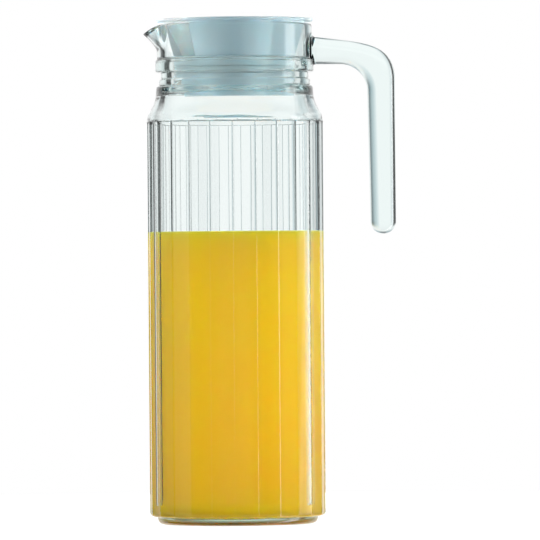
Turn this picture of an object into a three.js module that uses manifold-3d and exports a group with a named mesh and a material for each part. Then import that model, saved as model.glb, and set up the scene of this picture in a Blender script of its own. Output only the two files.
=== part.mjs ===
// A glass fridge jug with a hook handle and a plug-in lid that turns to pour or close.
// Millimetres, +Z up. The origin is the centre of the flat base, on the jug's axis.
// The spout points along -X and the handle along +X.
import * as THREE from "three";
import { mergeVertices } from "three/addons/utils/BufferGeometryUtils.js";
import Module from "manifold-3d";

const wasm = await Module();
wasm.setup();

// Driving dimensions of the body
const facetCount = 24;
const bodyRadius = 45.2; // over the ridges between the flat facets
const bodyWall = 4.3; // at the middle of a facet
const baseThickness = 4.5;
const baseFillet = 8; // inside corner between the base and the wall
const footHeight = 7.6;
const footInset = 3.8; // how far the foot stands in from the ridges
const footRound = 4.2; // rounded edge between the foot and the flat base
const facetHeight = 200.2;
const shoulderHeight = 14;
const shoulderCorner = 3.6; // rounded edge where the facets meet the shoulder
const shoulderTurn = 0.6; // share of the slope's height where its curve turns upright
const shoulderEase = 0.15; // share of the slope inside that each of its rounded ends takes

// Driving dimensions of the neck and collar
const neckBore = 31.6; // radius of the straight bore that takes the lid's plug
const neckWall = 6.4; // at the top ring
const neckRingSteps = [2.5, 0.9, 0]; // how far each ring stands out past the top one, upwards
const neckRingHeight = 3.6;
const neckRingGroove = 1.1; // depth of the groove over each ring
const beadHeight = 6.3;
const beadStep = 0.7; // how far the bead stands out past the collar
const beadRound = 1.2;
const ledgeWidth = 4.6; // the ledge inside the neck that carries the lid
const ledgeDrop = 0.9; // from the bead's top down to the ledge
const collarWall = 3.8;
const collarHeight = 18.3;
const rimRound = 1.1;

// Driving dimensions of the spout, which is pulled out of the collar
const spoutReach = 7.2; // from the collar's outside to the tip
const spoutDrop = 4.7; // from the rim down to the tip
const spoutHeight = 13; // how far below the rim the pull begins
const spoutHalfAngle = THREE.MathUtils.degToRad(27);
const spoutThinning = 0.9; // how much thinner the wall is at the tip
const spoutCurl = 1.1; // power of the curve that the lip follows outwards
const spoutDip = 1.5; // power of the curve that the rim follows downwards
const spoutSweep = 1.5; // power that keeps the rim level until it nears the tip

// Driving dimensions of the handle
const handleReach = 82.7; // from the jug's axis to the outside of the grip
const handleWidth = 17;
const handleRound = 5.4; // rounding of the handle's long edges
const armDrop = 6.9; // from the rim down to the top of the arm
const armHeight = 14; // at the root
const armFall = 2.4; // how far the arm's top slopes down to the bend
const gripThickness = 14.4; // below the bend
const tipThickness = 13.2;
const gripLength = 101.5; // from the top of the arm down to the tip
const bendOutside = 21;
const bendInside = 14;
const rootFlare = 3; // fillet where the arm spreads over the collar

// Driving dimensions of the lid
const flangeOverhang = 0.4; // past the collar
const flangeThickness = 1.5;
const flangeRise = 1.3; // gap that stays between the rim and the flange
const capWall = 1.5;
const capDish = 1; // depth of the shallow dish in the cap's top
const capDishMargin = 7.4; // from the flange's edge to the dish
const capTurn = THREE.MathUtils.degToRad(26); // how far the cap stands turned from the spout
const windowHalfAngle = THREE.MathUtils.degToRad(27);
const windowSill = 0.8; // solid band of the skirt below the pour window
const windowHead = 1; // solid band of the skirt above the pour window, down from the rim
const plugWall = 2.2;
const plugDepth = 19.4; // from the seat in the neck to the plug's lower edge
const plugNotchHalfAngle = THREE.MathUtils.degToRad(38);
const plugNotchLand = 2.8; // solid band between the seal and the notch
const stopThickness = 1.2;
const stopWidth = 1.6; // how far the stop flange reaches over the ledge
const sleeveWall = 1.4;
const sleeveDepth = 15.2;
const sleeveNotchHalfAngle = THREE.MathUtils.degToRad(36);
const sleeveNotchHeight = 5;
const snapHeight = 1.6;
const snapDepth = 0.6;
const snapLift = 2.4; // from the sleeve's lower edge up to the snap rib
const sealHeight = 3.6;
const sealDepth = 0.8; // how deep the seal sits in the plug
const sealLip = 0.35; // how far the seal's two lips stand out of the plug
const sealDrop = 3; // from the stop flange down to the seal

// Clearances
const weldGap = 0.3; // between the collar and the handle's root
const seatGap = 0.3; // under anything that rests on a seat
const runningGap = 0.3; // round anything that turns or slides
const sealGap = 0.15; // between the seal and its groove

// Resolution of the round surfaces
const roundSegments = 2 * facetCount;
const curveSteps = 3;
const bendSteps = 12;
const collarSteps = 5;

// Heights above the base
const facetTop = footHeight + facetHeight;
const shoulderTop = facetTop + shoulderHeight;
const beadBottom = shoulderTop + neckRingSteps.length * neckRingHeight;
const beadTop = beadBottom + beadHeight;
const ledgeTop = beadTop - ledgeDrop;
const rimTop = beadTop + collarHeight;
const armTop = rimTop - armDrop;
const armBottom = armTop - armHeight;
const tipBottom = armTop - gripLength;
const flangeBottom = rimTop + flangeRise;
const capTop = flangeBottom + flangeThickness;
const plugSeat = ledgeTop + seatGap;
const plugTop = plugSeat + stopThickness;
const plugBottom = plugSeat - plugDepth;
const sealTop = plugSeat - sealDrop;
const sealBottom = sealTop - sealHeight;
const capSeat = plugTop + seatGap;
const sleeveBottom = capSeat - sleeveDepth;
const snapBottom = sleeveBottom + snapLift;
const snapTop = snapBottom + snapHeight;

// Radii that follow from the sizes above
const innerRadius = bodyRadius * Math.cos(Math.PI / facetCount) - bodyWall;
const footRadius = bodyRadius - footInset;
const neckRadius = neckBore + neckWall;
const collarBore = neckBore + ledgeWidth;
const collarRadius = collarBore + collarWall;
const beadRadius = collarRadius + beadStep;
const plugRadius = neckBore - runningGap - sealLip;
const plugBore = plugRadius - plugWall;
const sleeveRadius = plugBore - runningGap;
const sleeveBore = sleeveRadius - sleeveWall;
const sealRadius = plugRadius - sealDepth + sealGap;
const skirtRadius = collarBore - seatGap; // at the rim
const flangeRadius = collarRadius + flangeOverhang;
const dishRadius = flangeRadius - capDishMargin;

const spoutDirection = Math.PI;
const windowDirection = spoutDirection + capTurn;
const cutReach = 2 * bodyRadius; // long enough to pass right through any piece that is cut

// A closed geometry as a solid that can be joined and cut.
function solidOf(geometry) {
  const bare = geometry.clone();
  bare.deleteAttribute("normal");
  bare.deleteAttribute("uv");
  const merged = mergeVertices(bare, 1e-4);
  return new wasm.Manifold(
    new wasm.Mesh({
      numProp: 3,
      vertProperties: new Float32Array(merged.attributes.position.array),
      triVerts: new Uint32Array(merged.index.array),
    }),
  );
}

function geometryOf(solid) {
  const mesh = solid.getMesh();
  return new THREE.BufferGeometry()
    .setAttribute("position", new THREE.BufferAttribute(mesh.vertProperties, 3))
    .setIndex(new THREE.BufferAttribute(mesh.triVerts, 1));
}

function piece(name, geometry, material) {
  const mesh = new THREE.Mesh(geometry, material);
  mesh.name = name;
  return mesh;
}

// Turns a path of (radius, height) points about the jug's axis.
function revolve(path, segments = roundSegments) {
  const lathe = new THREE.LatheGeometry(path.getPoints(curveSteps), segments);
  return solidOf(lathe.rotateX(Math.PI / 2));
}

// A wedge of a disc about one direction, from one height to another.
function sector(direction, halfAngle, bottom, top) {
  const start = direction - halfAngle;
  const outline = new THREE.Shape();
  outline.moveTo(0, 0);
  outline.lineTo(cutReach * Math.cos(start), cutReach * Math.sin(start));
  outline.absarc(0, 0, cutReach, start, direction + halfAngle);
  outline.closePath();
  const wedge = new THREE.ExtrudeGeometry(outline, { depth: top - bottom, bevelEnabled: false });
  return solidOf(wedge.translate(0, 0, bottom));
}

// A curve that bulges out from one height to another and returns to the radius where it began.
function bulge(path, radius, height, bottom, top) {
  // A quadratic curve reaches halfway to its control point.
  path.quadraticCurveTo(radius + 2 * height, (bottom + top) / 2, radius, top);
}

// The jug's outside as if it were round all over: foot, body, shoulder, neck rings, bead and collar.
function glassOutside() {
  const shoulderEdge = bodyRadius - shoulderCorner / 4;
  const shoulderBottom = facetTop + shoulderCorner;
  const turnHeight = shoulderBottom + shoulderTurn * (shoulderTop - shoulderBottom);
  const neckFoot = neckRadius + neckRingSteps[0];
  const firstGroove = shoulderTop + neckRingHeight;
  const path = new THREE.Path();
  path.moveTo(0, 0);
  path.lineTo(footRadius - footRound, 0);
  path.quadraticCurveTo(footRadius, 0, footRadius, footHeight / 2);
  path.quadraticCurveTo(bodyRadius, footHeight / 2, bodyRadius, footHeight);
  path.lineTo(bodyRadius, facetTop);
  path.quadraticCurveTo(bodyRadius, (facetTop + shoulderBottom) / 2, shoulderEdge, shoulderBottom);
  path.quadraticCurveTo(neckFoot, turnHeight, neckFoot, shoulderTop);
  // The lowest ring grows out of the shoulder, so only its upper side is rounded.
  path.quadraticCurveTo(neckFoot, (shoulderTop + firstGroove) / 2, neckFoot - neckRingGroove, firstGroove);
  neckRingSteps.slice(1).forEach((step, index) => {
    const groove = neckRadius + step - neckRingGroove;
    const bottom = firstGroove + index * neckRingHeight;
    path.lineTo(groove, bottom);
    bulge(path, groove, neckRingGroove, bottom, bottom + neckRingHeight);
  });
  path.lineTo(beadRadius - beadRound, beadBottom);
  path.quadraticCurveTo(beadRadius, beadBottom, beadRadius, beadBottom + beadRound);
  path.lineTo(beadRadius, beadTop - beadRound);
  path.quadraticCurveTo(beadRadius, beadTop, collarRadius, beadTop);
  addCollarWall(path, collarRadius, beadTop);
  path.quadraticCurveTo(collarRadius, rimTop, collarRadius - rimRound, rimTop);
  path.lineTo(0, rimTop);
  return revolve(path);
}

// A straight wall up to the rim, in steps that let it bend where the spout is pulled out.
function addCollarWall(path, radius, bottom) {
  const height = rimTop - rimRound - bottom;
  for (let step = 1; step <= collarSteps; step++) {
    path.lineTo(radius, bottom + (height * step) / collarSteps);
  }
}

// The hollow inside: body, shoulder, bore, ledge and collar, open at the rim.
function glassInside() {
  const slopeBottom = new THREE.Vector2(innerRadius, facetTop + shoulderCorner / 4);
  const slopeTop = new THREE.Vector2(neckBore, shoulderTop - shoulderCorner / 2);
  const slopeStart = slopeBottom.clone().lerp(slopeTop, shoulderEase);
  const slopeEnd = slopeTop.clone().lerp(slopeBottom, shoulderEase);
  const wallBottom = ledgeTop + rimRound;
  const path = new THREE.Path();
  path.moveTo(0, baseThickness);
  path.lineTo(innerRadius - baseFillet, baseThickness);
  path.quadraticCurveTo(innerRadius, baseThickness, innerRadius, baseThickness + baseFillet);
  path.lineTo(innerRadius, slopeBottom.y - shoulderCorner / 2);
  path.quadraticCurveTo(innerRadius, slopeBottom.y, slopeStart.x, slopeStart.y);
  path.lineTo(slopeEnd.x, slopeEnd.y);
  path.quadraticCurveTo(neckBore, slopeTop.y, neckBore, shoulderTop);
  path.lineTo(neckBore, ledgeTop);
  path.lineTo(collarBore - rimRound, ledgeTop);
  path.quadraticCurveTo(collarBore, ledgeTop, collarBore, wallBottom);
  addCollarWall(path, collarBore, wallBottom);
  path.quadraticCurveTo(collarBore, rimTop, collarBore + rimRound, rimTop);
  path.lineTo(collarBore + rimRound, rimTop + rimRound);
  path.lineTo(0, rimTop + rimRound);
  return revolve(path);
}

// A prism whose flat sides cut the round body into facets.
function facetPrism() {
  const path = new THREE.Path();
  path.moveTo(0, -footHeight);
  path.lineTo(bodyRadius, -footHeight);
  path.lineTo(bodyRadius, rimTop + footHeight);
  path.lineTo(0, rimTop + footHeight);
  return revolve(path, facetCount);
}

// Bends the collar outwards and down on one side, so that it runs into a pouring lip.
function pullSpout(geometry) {
  const position = geometry.attributes.position;
  for (let i = 0; i < position.count; i++) {
    const [x, y, z] = [position.getX(i), position.getY(i), position.getZ(i)];
    const sideways = Math.atan2(y, -x) / spoutHalfAngle;
    const rise = (z - rimTop + spoutHeight) / spoutHeight;
    if (Math.abs(sideways) >= 1 || rise <= 0) continue;
    const radius = Math.hypot(x, y);
    const share = (1 - sideways ** 2) ** 2;
    const depth = THREE.MathUtils.clamp((collarRadius - radius) / collarWall, 0, 1);
    const outward = (spoutReach + spoutThinning * depth) * share * rise ** spoutCurl;
    const stretch = 1 + outward / radius;
    const drop = spoutDrop * share ** spoutSweep * rise ** spoutDip;
    position.setXYZ(i, x * stretch, y * stretch, z - drop);
  }
  return geometry;
}

function glassJug(material) {
  const blank = glassOutside().intersect(facetPrism()).subtract(glassInside());
  return piece("glass_jug", pullSpout(geometryOf(blank)), material);
}

// The side view of the hook, with x along the arm and y upwards.
function handleOutline() {
  const rootX = collarBore - 2 * handleRound; // inside the collar, and trimmed to it afterwards
  const flareX = collarRadius + rootFlare;
  const gripInside = handleReach - gripThickness;
  const bendTop = armTop - armFall;
  const tipRadius = tipThickness / 2;
  const outline = new THREE.Shape();
  outline.moveTo(rootX, armTop + rootFlare);
  outline.lineTo(collarRadius, armTop + rootFlare);
  outline.quadraticCurveTo(collarRadius, armTop, flareX, armTop);
  outline.lineTo(handleReach - bendOutside, bendTop);
  outline.absarc(handleReach - bendOutside, bendTop - bendOutside, bendOutside, Math.PI / 2, 0, true);
  outline.lineTo(handleReach, tipBottom + tipRadius);
  outline.absarc(handleReach - tipRadius, tipBottom + tipRadius, tipRadius, 0, -Math.PI, true);
  outline.lineTo(gripInside, armBottom - bendInside);
  outline.absarc(gripInside - bendInside, armBottom - bendInside, bendInside, 0, Math.PI / 2, false);
  outline.lineTo(flareX, armBottom);
  outline.quadraticCurveTo(collarRadius, armBottom, collarRadius, armBottom - rootFlare);
  outline.lineTo(rootX, armBottom - rootFlare);
  outline.closePath();
  return outline;
}

// What the handle's root is trimmed to: the glass with the weld gap round it.
function rootTrim() {
  const path = new THREE.Path();
  path.moveTo(0, 0);
  path.lineTo(bodyRadius + weldGap, 0);
  path.lineTo(bodyRadius + weldGap, shoulderTop);
  path.lineTo(beadRadius + weldGap, beadBottom);
  path.lineTo(beadRadius + weldGap, beadTop + weldGap);
  path.lineTo(collarRadius + weldGap, beadTop + weldGap);
  path.lineTo(collarRadius + weldGap, rimTop + rootFlare);
  path.lineTo(0, rimTop + rootFlare);
  return revolve(path);
}

function glassHandle(material) {
  // The rounding stays within the thinnest part of the handle.
  const edge = Math.min(handleRound, 0.45 * Math.min(handleWidth, tipThickness, gripThickness, armHeight));
  const hook = new THREE.ExtrudeGeometry(handleOutline(), {
    depth: handleWidth - 2 * edge,
    bevelSize: edge,
    bevelThickness: edge,
    bevelOffset: -edge,
    bevelSegments: curveSteps,
    curveSegments: bendSteps,
  });
  hook.translate(0, 0, edge - handleWidth / 2).rotateX(Math.PI / 2);
  return piece("glass_handle", geometryOf(solidOf(hook).subtract(rootTrim())), material);
}

// The turning cap: a flat flange, a tapered skirt with the pour window, and a sleeve that runs in the plug.
function lidCap(material) {
  const ceiling = capTop - capDish - capWall;
  const skirtTop = rimTop - rimRound;
  const edge = flangeThickness / 2;
  const path = new THREE.Path();
  path.moveTo(sleeveBore, sleeveBottom);
  path.lineTo(sleeveRadius, sleeveBottom);
  path.lineTo(sleeveRadius, snapBottom);
  bulge(path, sleeveRadius, snapDepth, snapBottom, snapTop);
  path.lineTo(sleeveRadius, capSeat);
  path.lineTo(plugRadius, capSeat);
  path.lineTo(skirtRadius, skirtTop);
  path.lineTo(skirtRadius, flangeBottom);
  path.lineTo(flangeRadius - edge, flangeBottom);
  path.quadraticCurveTo(flangeRadius, flangeBottom, flangeRadius, flangeBottom + edge);
  path.quadraticCurveTo(flangeRadius, capTop, flangeRadius - edge, capTop);
  path.lineTo(dishRadius + capDish, capTop);
  path.lineTo(dishRadius, capTop - capDish);
  path.lineTo(0, capTop - capDish);
  path.lineTo(0, ceiling);
  path.lineTo(skirtRadius - capWall, ceiling);
  path.lineTo(skirtRadius - capWall, skirtTop);
  path.lineTo(sleeveBore, capSeat + capWall);
  path.lineTo(sleeveBore, sleeveBottom);
  const window = sector(windowDirection, windowHalfAngle, capSeat + windowSill, rimTop - windowHead);
  const notchTop = sleeveBottom + sleeveNotchHeight;
  const notch = sector(windowDirection, sleeveNotchHalfAngle, sleeveBottom - seatGap, notchTop);
  return piece("lid_cap", geometryOf(revolve(path).subtract(window).subtract(notch)), material);
}

// The plug that sits in the neck: a tube with a stop flange, a groove for the seal and a pour notch.
function lidPlug(material) {
  const grooveRadius = plugRadius - sealDepth;
  const stopRadius = neckBore + stopWidth;
  const path = new THREE.Path();
  path.moveTo(plugBore, plugBottom);
  path.lineTo(plugRadius, plugBottom);
  path.lineTo(plugRadius, sealBottom - sealGap);
  path.lineTo(grooveRadius, sealBottom - sealGap);
  path.lineTo(grooveRadius, sealTop + sealGap);
  path.lineTo(plugRadius, sealTop + sealGap);
  path.lineTo(plugRadius, plugSeat);
  path.lineTo(stopRadius, plugSeat);
  path.lineTo(stopRadius, plugTop);
  path.lineTo(plugBore, plugTop);
  path.lineTo(plugBore, snapTop + runningGap);
  bulge(path, plugBore, snapDepth, snapTop + runningGap, snapBottom - runningGap);
  path.lineTo(plugBore, plugBottom);
  const notchTop = sealBottom - plugNotchLand;
  const notch = sector(spoutDirection, plugNotchHalfAngle, plugBottom - seatGap, notchTop);
  return piece("lid_plug", geometryOf(revolve(path).subtract(notch)), material);
}

// The soft ring in the plug's groove, with two lips that close against the bore.
function lidSeal(material) {
  const middle = (sealTop + sealBottom) / 2;
  const path = new THREE.Path();
  path.moveTo(sealRadius, sealBottom);
  path.lineTo(plugRadius, sealBottom);
  bulge(path, plugRadius, sealLip, sealBottom, middle);
  bulge(path, plugRadius, sealLip, middle, sealTop);
  path.lineTo(sealRadius, sealTop);
  path.lineTo(sealRadius, sealBottom);
  return piece("lid_seal", geometryOf(revolve(path)), material);
}

function clearGlass() {
  return new THREE.MeshStandardMaterial({
    color: 0xe6f2f0,
    roughness: 0.05,
    metalness: 0,
    transparent: true,
    opacity: 0.35,
  });
}

function milkyPlastic() {
  return new THREE.MeshStandardMaterial({ color: 0xb9cfdb, roughness: 0.4, metalness: 0 });
}

function softSilicone() {
  return new THREE.MeshStandardMaterial({ color: 0xd3dee3, roughness: 0.6, metalness: 0 });
}

const jug = new THREE.Group();
jug.name = "fridge_jug";
jug.add(glassJug(clearGlass()), glassHandle(clearGlass()));

const lid = new THREE.Group();
lid.name = "lid";
lid.add(lidCap(milkyPlastic()), lidPlug(milkyPlastic()), lidSeal(softSilicone()));
jug.add(lid);

export default jug;
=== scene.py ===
"""Looks of a glass fridge jug with a hook handle, a turning pour lid and a fill of juice.

Metres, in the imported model's frame: +Z up, the spout along -X and the handle along +X.
"""

import logging
import math
from dataclasses import dataclass, field
from enum import Enum
from functools import reduce

import bmesh
import bpy
from mathutils import Matrix, Vector

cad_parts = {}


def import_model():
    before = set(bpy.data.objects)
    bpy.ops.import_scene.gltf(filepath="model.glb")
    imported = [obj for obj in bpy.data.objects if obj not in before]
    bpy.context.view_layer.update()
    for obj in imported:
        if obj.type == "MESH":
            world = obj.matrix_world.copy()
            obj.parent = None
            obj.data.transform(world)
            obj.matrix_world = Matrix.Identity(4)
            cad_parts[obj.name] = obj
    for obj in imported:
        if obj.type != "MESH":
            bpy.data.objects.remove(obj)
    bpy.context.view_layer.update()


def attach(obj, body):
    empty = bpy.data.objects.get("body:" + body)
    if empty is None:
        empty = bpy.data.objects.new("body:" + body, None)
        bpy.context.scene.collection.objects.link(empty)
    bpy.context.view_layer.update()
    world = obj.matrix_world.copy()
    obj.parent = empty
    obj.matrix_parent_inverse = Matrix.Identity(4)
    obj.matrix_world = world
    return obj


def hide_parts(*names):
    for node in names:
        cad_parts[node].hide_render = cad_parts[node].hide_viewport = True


Socket = bpy.types.NodeSocket
Piece = bpy.types.Object
Material = bpy.types.Material

LOG = logging.getLogger("fridge_jug")
MM = 0.001
INSIDE = "inside"  # the face attribute that marks the inside of a hollow piece, which the plastic colours paler as painted light
INSIDE_FACING = -0.3  # a face whose normal's outward share is under this is inside
WELD_DISTANCE = 0.002 * MM  # points closer than this are one point
INDEX_NUDGE = 0.5  # keeps a row number whole when an index is divided
CORNER_LIMIT = 0.49  # the most of a straight stretch that one rounded corner takes up
COOL_GREEN = 0.25  # share of a cool grey's loss of red that its green loses too
ROUND_SHARE = 0.5523  # share of the radius at which a cubic's control points draw a quarter circle


class Body(Enum):
    """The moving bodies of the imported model."""

    JUG = "jug"
    PLUG = "plug"
    CAP = "cap"


class Slot(Enum):
    """The record's material slots."""

    GLASS = "clear_glass"
    PLASTIC = "milky_plastic"
    SILICONE = "soft_silicone"


class NodeDraft:
    """Adds nodes to a node tree and links them in a few words."""

    def __init__(self, tree: bpy.types.NodeTree) -> None:
        """Keeps the tree that the nodes go into."""
        self.tree = tree

    def add(self, kind: str, inputs: dict | None = None, **settings) -> bpy.types.Node:
        """Adds one node.

        Args:
            kind: The node's type name.
            inputs: Values or sockets for its inputs, by name or number.
            settings: Values for the node's own properties.

        Returns:
            The new node.
        """
        node = self.tree.nodes.new(kind)
        for name, value in settings.items():
            setattr(node, name, value)
        for name, value in (inputs or {}).items():
            self.feed(node.inputs[name], value)
        return node

    def feed(self, socket: Socket, value: object) -> None:
        """Links a socket to an input, or sets the input's own value.

        Args:
            socket: The input.
            value: The socket that feeds it, or its value.
        """
        if isinstance(value, Socket):
            self.tree.links.new(value, socket)
        else:
            socket.default_value = value

    def math(self, operation: str, *values: object, clamp: bool = False) -> Socket:
        """Adds a Math node and returns its result."""
        inputs = dict(enumerate(values))
        return self.add("ShaderNodeMath", inputs, operation=operation, use_clamp=clamp).outputs[0]

    def total(self, *values: object) -> Socket:
        """Returns the sum of two or more values."""
        return reduce(lambda so_far, value: self.math("ADD", so_far, value), values)

    def product(self, *values: object) -> Socket:
        """Returns the product of two or more values."""
        return reduce(lambda so_far, value: self.math("MULTIPLY", so_far, value), values)

    def swing(self, noise: object, *amounts: object) -> Socket:
        """Returns noise centred on 0, times some amounts."""
        return self.product(self.math("SUBTRACT", noise, 0.5), *amounts)

    def ease(self, value: object, start: float, end: float) -> Socket:
        """Returns a smooth step from 0 at start to 1 at end."""
        limits = {"Value": value, "From Min": start, "From Max": end, "To Min": 0.0, "To Max": 1.0}
        return self.add("ShaderNodeMapRange", limits, interpolation_type="SMOOTHSTEP").outputs[0]

    def ramp(self, value: object, stops: tuple) -> Socket:
        """Adds a colour ramp.

        Args:
            value: The place on the ramp.
            stops: (place, colour) pairs, in order.

        Returns:
            The ramp's colour.
        """
        node = self.add("ShaderNodeValToRGB", {"Fac": value})
        elements = node.color_ramp.elements
        while len(elements) < len(stops):
            elements.new(1.0)
        for element, (place, colour) in zip(elements, stops):
            element.position = place
            element.color = (*colour, 1.0)
        return node.outputs["Color"]

    def mix(self, share: object, first: object, second: object) -> Socket:
        """Adds a mix of two colours.

        Args:
            share: The second colour's share.
            first: A colour or a socket.
            second: Another one.

        Returns:
            The mixed colour.
        """
        node = self.add("ShaderNodeMix", data_type="RGBA")
        for place, value in ((0, share), (6, first), (7, second)):
            self.feed(node.inputs[place], (*value, 1.0) if isinstance(value, tuple) else value)
        return node.outputs[2]

    def noise(self, scale: float, upright: float = 1.0, detail: float = 2.0) -> Socket:
        """Adds noise on Object coordinates.

        Args:
            scale: The noise's scale.
            upright: A share of that scale for the way up, where less draws the noise out.
            detail: How many finer layers it has.

        Returns:
            The noise, from 0 to 1.
        """
        place = self.add("ShaderNodeTexCoord").outputs["Object"]
        stretch = Vector((1.0, 1.0, upright))
        turned = self.add("ShaderNodeMapping", {"Vector": place, "Scale": stretch}).outputs[0]
        inputs = {"Vector": turned, "Scale": scale, "Detail": detail}
        return self.add("ShaderNodeTexNoise", inputs).outputs[0]


def new_material(name: str) -> tuple[Material, NodeDraft]:
    """Makes an empty material with nodes.

    Args:
        name: The material's name.

    Returns:
        The material, and a draft of its tree with an output node named Output.
    """
    material = bpy.data.materials.new(name)
    material.use_nodes = True
    material.node_tree.nodes.clear()
    draft = NodeDraft(material.node_tree)
    draft.add("ShaderNodeOutputMaterial", name="Output")
    return material, draft


def finish_with(draft: NodeDraft, shader: bpy.types.Node, socket: str = "Surface") -> None:
    """Links a shader to the material's output."""
    draft.feed(draft.tree.nodes["Output"].inputs[socket], shader.outputs[0])


@dataclass(frozen=True)
class ClearGlass:
    """Clear pressed glass with a faint green depth and the slight ripple that a mould leaves."""

    tint: tuple = (0.985, 1.0, 0.997)
    depth_colour: tuple = (0.62, 0.9, 0.86)
    depth_density: float = 15.0
    ior: float = 1.5
    ripple_scale: float = 55.0
    ripple: float = 0.03
    ripple_upright: float = 0.2

    def material(self) -> Material:
        """Makes the glass, which lets lamps reach what is behind it.

        Returns:
            The material.
        """
        material, draft = new_material("clear_glass")
        waves = draft.noise(self.ripple_scale, self.ripple_upright)
        bump = draft.add("ShaderNodeBump", {"Strength": self.ripple, "Distance": MM, "Height": waves})
        body = draft.add(
            "ShaderNodeBsdfPrincipled",
            {
                "Base Color": (*self.tint, 1.0),
                "Roughness": 0.0,
                "IOR": self.ior,
                "Transmission Weight": 1.0,
                "Normal": bump.outputs[0],
            },
        )
        path = draft.add("ShaderNodeLightPath").outputs
        clear = draft.add("ShaderNodeBsdfTransparent", {"Color": (*self.tint, 1.0)}).outputs[0]
        made = body
        for kind in ("Is Diffuse Ray", "Is Shadow Ray"):
            made = draft.add("ShaderNodeMixShader", {0: path[kind], 1: made.outputs[0], 2: clear})
        finish_with(draft, made)
        depth = {"Color": (*self.depth_colour, 1.0), "Density": self.depth_density}
        finish_with(draft, draft.add("ShaderNodeVolumeAbsorption", depth), "Volume")
        return material


@dataclass(frozen=True)
class MilkyPlastic:
    """Translucent milky plastic with a satin skin and faint flow clouds."""

    name: str = "milky_plastic"
    pale: tuple = (0.68, 0.76, 0.79)
    deep: tuple = (0.63, 0.72, 0.76)
    # painted light: a paler colour on the faces inside the cap, standing in for light that shines
    # through its walls
    inside: tuple = (0.95, 0.96, 0.97)
    roughness: float = 0.42
    reach: float = 3 * MM
    reach_shares: tuple = (0.8, 1.0, 1.1)
    cloud_scale: float = 30.0
    cloud_upright: float = 0.5
    cloud_detail: float = 3.0
    cloud_gloss: float = 0.12
    grain_scale: float = 900.0
    grain_detail: float = 1.0
    grain: float = 0.05
    grain_height: float = 0.1 * MM
    ior: float = 1.5

    def material(self) -> Material:
        """Makes the plastic, with clouds in its colour, a paler inside as painted light, and a fine
        grain on its skin.

        Returns:
            The material.
        """
        material, draft = new_material(self.name)
        clouds = draft.noise(self.cloud_scale, self.cloud_upright, self.cloud_detail)
        grain = draft.noise(self.grain_scale, detail=self.grain_detail)
        relief = {"Strength": self.grain, "Distance": self.grain_height, "Height": grain}
        bump = draft.add("ShaderNodeBump", relief)
        skin = draft.total(self.roughness, draft.swing(clouds, self.cloud_gloss))
        # painted light: the marked inside faces get the paler inside colour
        inner = draft.add("ShaderNodeAttribute", attribute_name=INSIDE).outputs["Fac"]
        body = draft.add(
            "ShaderNodeBsdfPrincipled",
            {
                "Base Color": draft.mix(inner, draft.mix(clouds, self.deep, self.pale), self.inside),
                "Roughness": skin,
                "IOR": self.ior,
                "Subsurface Weight": 1.0,
                "Subsurface Radius": self.reach_shares,
                "Subsurface Scale": self.reach,
                "Normal": bump.outputs[0],
            },
        )
        finish_with(draft, body)
        return material


@dataclass(frozen=True)
class SoftSilicone(MilkyPlastic):
    """Soft translucent silicone, duller than the plastic."""

    name: str = "soft_silicone"
    deep: tuple = (0.64, 0.73, 0.76)
    roughness: float = 0.55


@dataclass(frozen=True)
class OrangeJuice:
    """Cloudy orange juice that scatters light, with drifting pulp.

    Its colour is deeper low down, as painted shade, and warmer near its top, painted there to offset the
    cool cast that the lamps give it.
    """

    bright: tuple = (0.93, 0.605, 0.012)
    # painted shade: the colour that the juice deepens to towards the bottom
    deep: tuple = (0.86, 0.475, 0.01)
    # painted light: a warmer colour near the top that offsets the lamps' cool cast there
    edge: tuple = (0.97, 0.53, 0.02)
    edge_reach: float = 32 * MM
    top: float = 150.5 * MM
    reach: float = 30 * MM
    reach_shares: tuple = (1.0, 1.0, 0.3)
    drift_scale: float = 14.0
    drift: float = 0.5
    drift_upright: float = 0.6
    pulp_scale: float = 260.0
    pulp: float = 0.35
    pulp_upright: float = 0.7
    pulp_detail: float = 4.0
    roughness: float = 0.08
    ior: float = 1.35

    def material(self) -> Material:
        """Makes the juice, with its drifts and pulp, its painted shade low down and its warmer top.

        Returns:
            The material.
        """
        material, draft = new_material("orange_juice")
        place = draft.add("ShaderNodeTexCoord").outputs["Object"]
        height = draft.add("ShaderNodeSeparateXYZ", {0: place}).outputs["Z"]
        cloud = draft.swing(draft.noise(self.drift_scale, self.drift_upright), self.drift)
        pulp = draft.noise(self.pulp_scale, self.pulp_upright, self.pulp_detail)
        speck = draft.swing(pulp, self.pulp)
        # painted shade: the colour deepens from the top down to the bottom
        level = draft.math("DIVIDE", height, self.top)
        share = draft.math("ADD", draft.total(level, cloud), speck, clamp=True)
        # painted light: near the top the colour turns warmer to offset the lamps' cool cast
        near_top = draft.ease(height, self.top - self.edge_reach, self.top)
        body = draft.add(
            "ShaderNodeBsdfPrincipled",
            {
                "Base Color": draft.mix(near_top, draft.mix(share, self.deep, self.bright), self.edge),
                "Roughness": self.roughness,
                "IOR": self.ior,
                "Subsurface Weight": 1.0,
                "Subsurface Radius": self.reach_shares,
                "Subsurface Scale": self.reach,
            },
        )
        finish_with(draft, body)
        return material


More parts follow.
